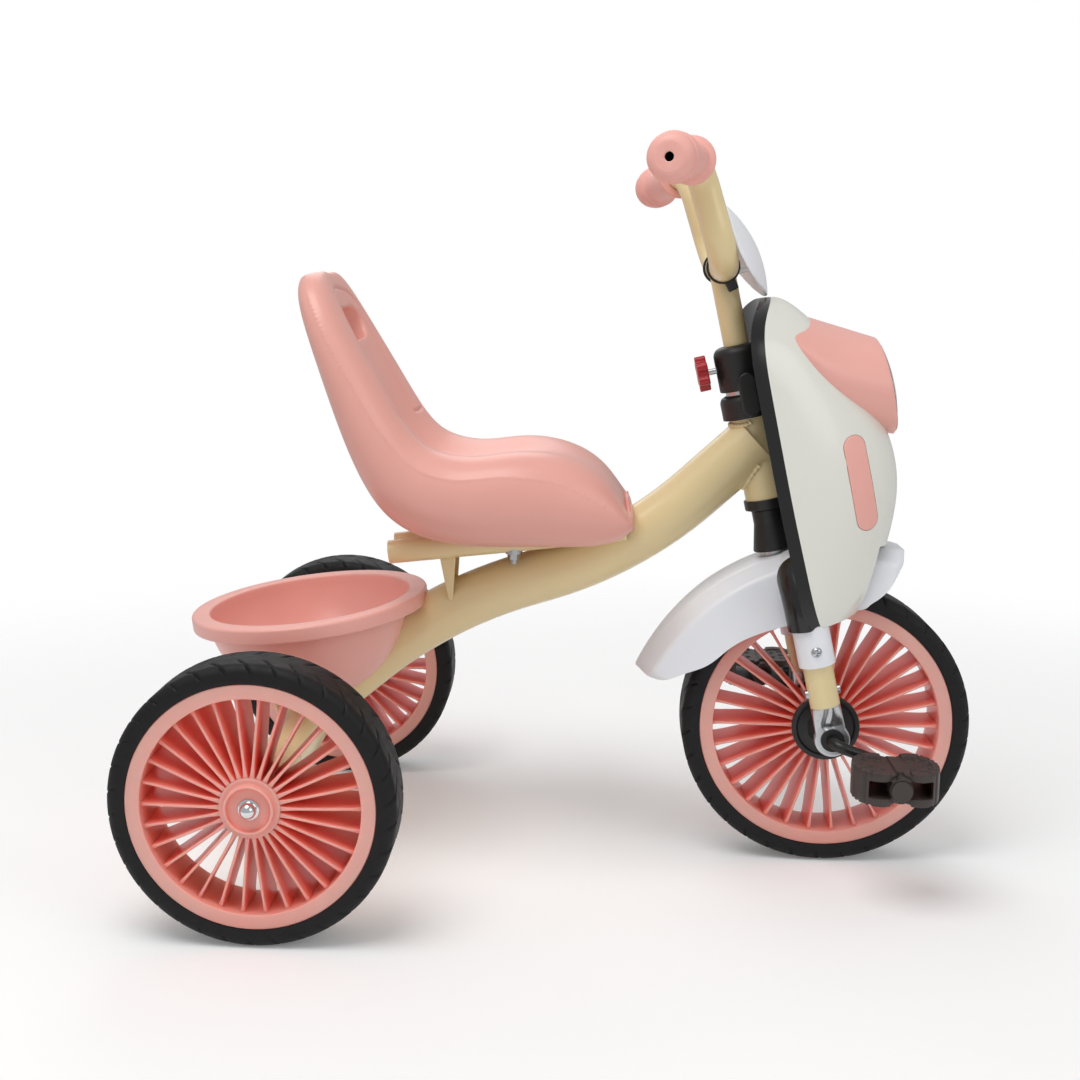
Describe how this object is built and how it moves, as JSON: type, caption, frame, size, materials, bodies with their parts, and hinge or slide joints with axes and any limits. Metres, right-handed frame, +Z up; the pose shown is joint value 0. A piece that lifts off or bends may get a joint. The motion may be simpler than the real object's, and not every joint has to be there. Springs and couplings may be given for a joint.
{
  "type": "children's tricycle",
  "caption": "Child's pedal tricycle with a bucket seat, rear basket, finned wheels, lamp cowl on the fork, sliding clamped handlebar and crank-driven front wheel.",
  "frame": {"origin": "middle of the overall box at ground level", "axes": "+X forward, +Y to the rider's left, +Z up; ground at Z = 0"},
  "size_m": [0.711, 0.5262, 0.6296],
  "materials": {
    "cream_paint": "glossy beige-cream powder coat",
    "pink_plastic": "moulded salmon-pink polypropylene",
    "foam_tyre": "matt black moulded foam",
    "zinc_steel": "bright zinc plating",
    "chrome_cap": "polished chrome",
    "black_steel": "black painted steel rod",
    "black_plastic": "moulded black plastic",
    "black_gloss": "glossy black moulding",
    "white_plastic": "cool white moulding",
    "ivory_plastic": "glossy ivory moulding",
    "red_plastic": "glossy red moulding",
    "clear_lens": "clear moulded lens",
    "bright_reflector": "vacuum-metallised bowl"
  },
  "bodies": {
    "frame": {"main_tube": "cream_paint", "head_tube": "cream_paint", "rear_axle_tube": "cream_paint", "seat_rail_right": "cream_paint", "seat_rail_left": "cream_paint", "rail_gusset": "cream_paint", "seat_shell": "pink_plastic", "seat_bolts": "zinc_steel", "seat_nuts": "zinc_steel", "basket": "pink_plastic", "basket_screws": "zinc_steel", "rear_axle": "zinc_steel", "axle_bushes": "black_plastic", "axle_cap_nuts": "chrome_cap", "head_cup_lower": "black_plastic", "head_cup_upper": "black_plastic"},
    "steering": {"fork_steerer": "zinc_steel", "fork_tube": "cream_paint", "fork_end_right": "zinc_steel", "fork_end_left": "zinc_steel", "crank_bushes": "black_plastic", "fork_rivets": "zinc_steel", "front_fender": "white_plastic", "fender_screws": "zinc_steel", "crown_cover": "black_plastic", "steering_washer": "zinc_steel", "stem_sleeve": "black_plastic", "cowl_shell": "ivory_plastic", "cowl_back": "black_gloss", "cowl_screws": "zinc_steel", "cowl_clips": "black_plastic", "lamp_surround": "pink_plastic", "lamp_lens": "clear_lens", "lamp_reflector": "bright_reflector", "side_accent_right": "pink_plastic", "side_accent_left": "pink_plastic"},
    "clamp": {"clamp_bolt": "zinc_steel", "clamp_knob": "red_plastic"},
    "handlebar": {"handlebar": "cream_paint", "grip_right": "pink_plastic", "grip_left": "pink_plastic", "visor": "white_plastic", "visor_ties": "black_plastic"},
    "front_wheel": {"front_wheel": "pink_plastic", "front_tyre": "foam_tyre", "hub_discs": "black_plastic", "crank": "black_steel"},
    "pedal_right": {"pedal_right": "black_plastic", "pedal_cap_right": "black_plastic"},
    "pedal_left": {"pedal_left": "black_plastic", "pedal_cap_left": "black_plastic"},
    "rear_wheel_right": {"rear_wheel_right": "pink_plastic", "rear_tyre_right": "foam_tyre"},
    "rear_wheel_left": {"rear_wheel_left": "pink_plastic", "rear_tyre_left": "foam_tyre"}
  },
  "joints": [
    {"name": "steering_turn", "type": "hinge", "parent": "frame", "child": "steering", "pos_m": [0.21974, 0, 0.12384], "axis": [-0.2164, 0, 0.9763], "range_deg": [-40, 40]},
    {"name": "handlebar_height", "type": "slide", "parent": "steering", "child": "handlebar", "axis": [-0.2164, 0, 0.9763], "range_m": [0, 0.03]},
    {"name": "clamp_turn", "type": "hinge", "parent": "steering", "child": "clamp", "pos_m": [0.14896, 0, 0.44308], "axis": [0.9763, 0, 0.2164], "continuous": true},
    {"name": "front_wheel_spin", "type": "hinge", "parent": "steering", "child": "front_wheel", "pos_m": [0.2295, 0, 0.126], "axis": [0, 1, 0], "continuous": true},
    {"name": "pedal_right_spin", "type": "hinge", "parent": "front_wheel", "child": "pedal_right", "pos_m": [0.27179, -0.128, 0.11061], "axis": [0, 1, 0], "continuous": true},
    {"name": "pedal_left_spin", "type": "hinge", "parent": "front_wheel", "child": "pedal_left", "pos_m": [0.18721, 0.128, 0.14139], "axis": [0, 1, 0], "continuous": true},
    {"name": "rear_wheel_right_spin", "type": "hinge", "parent": "frame", "child": "rear_wheel_right", "pos_m": [-0.2405, -0.226, 0.115], "axis": [0, 1, 0], "continuous": true},
    {"name": "rear_wheel_left_spin", "type": "hinge", "parent": "frame", "child": "rear_wheel_left", "pos_m": [-0.2405, 0.226, 0.115], "axis": [0, 1, 0], "continuous": true}
  ]
}
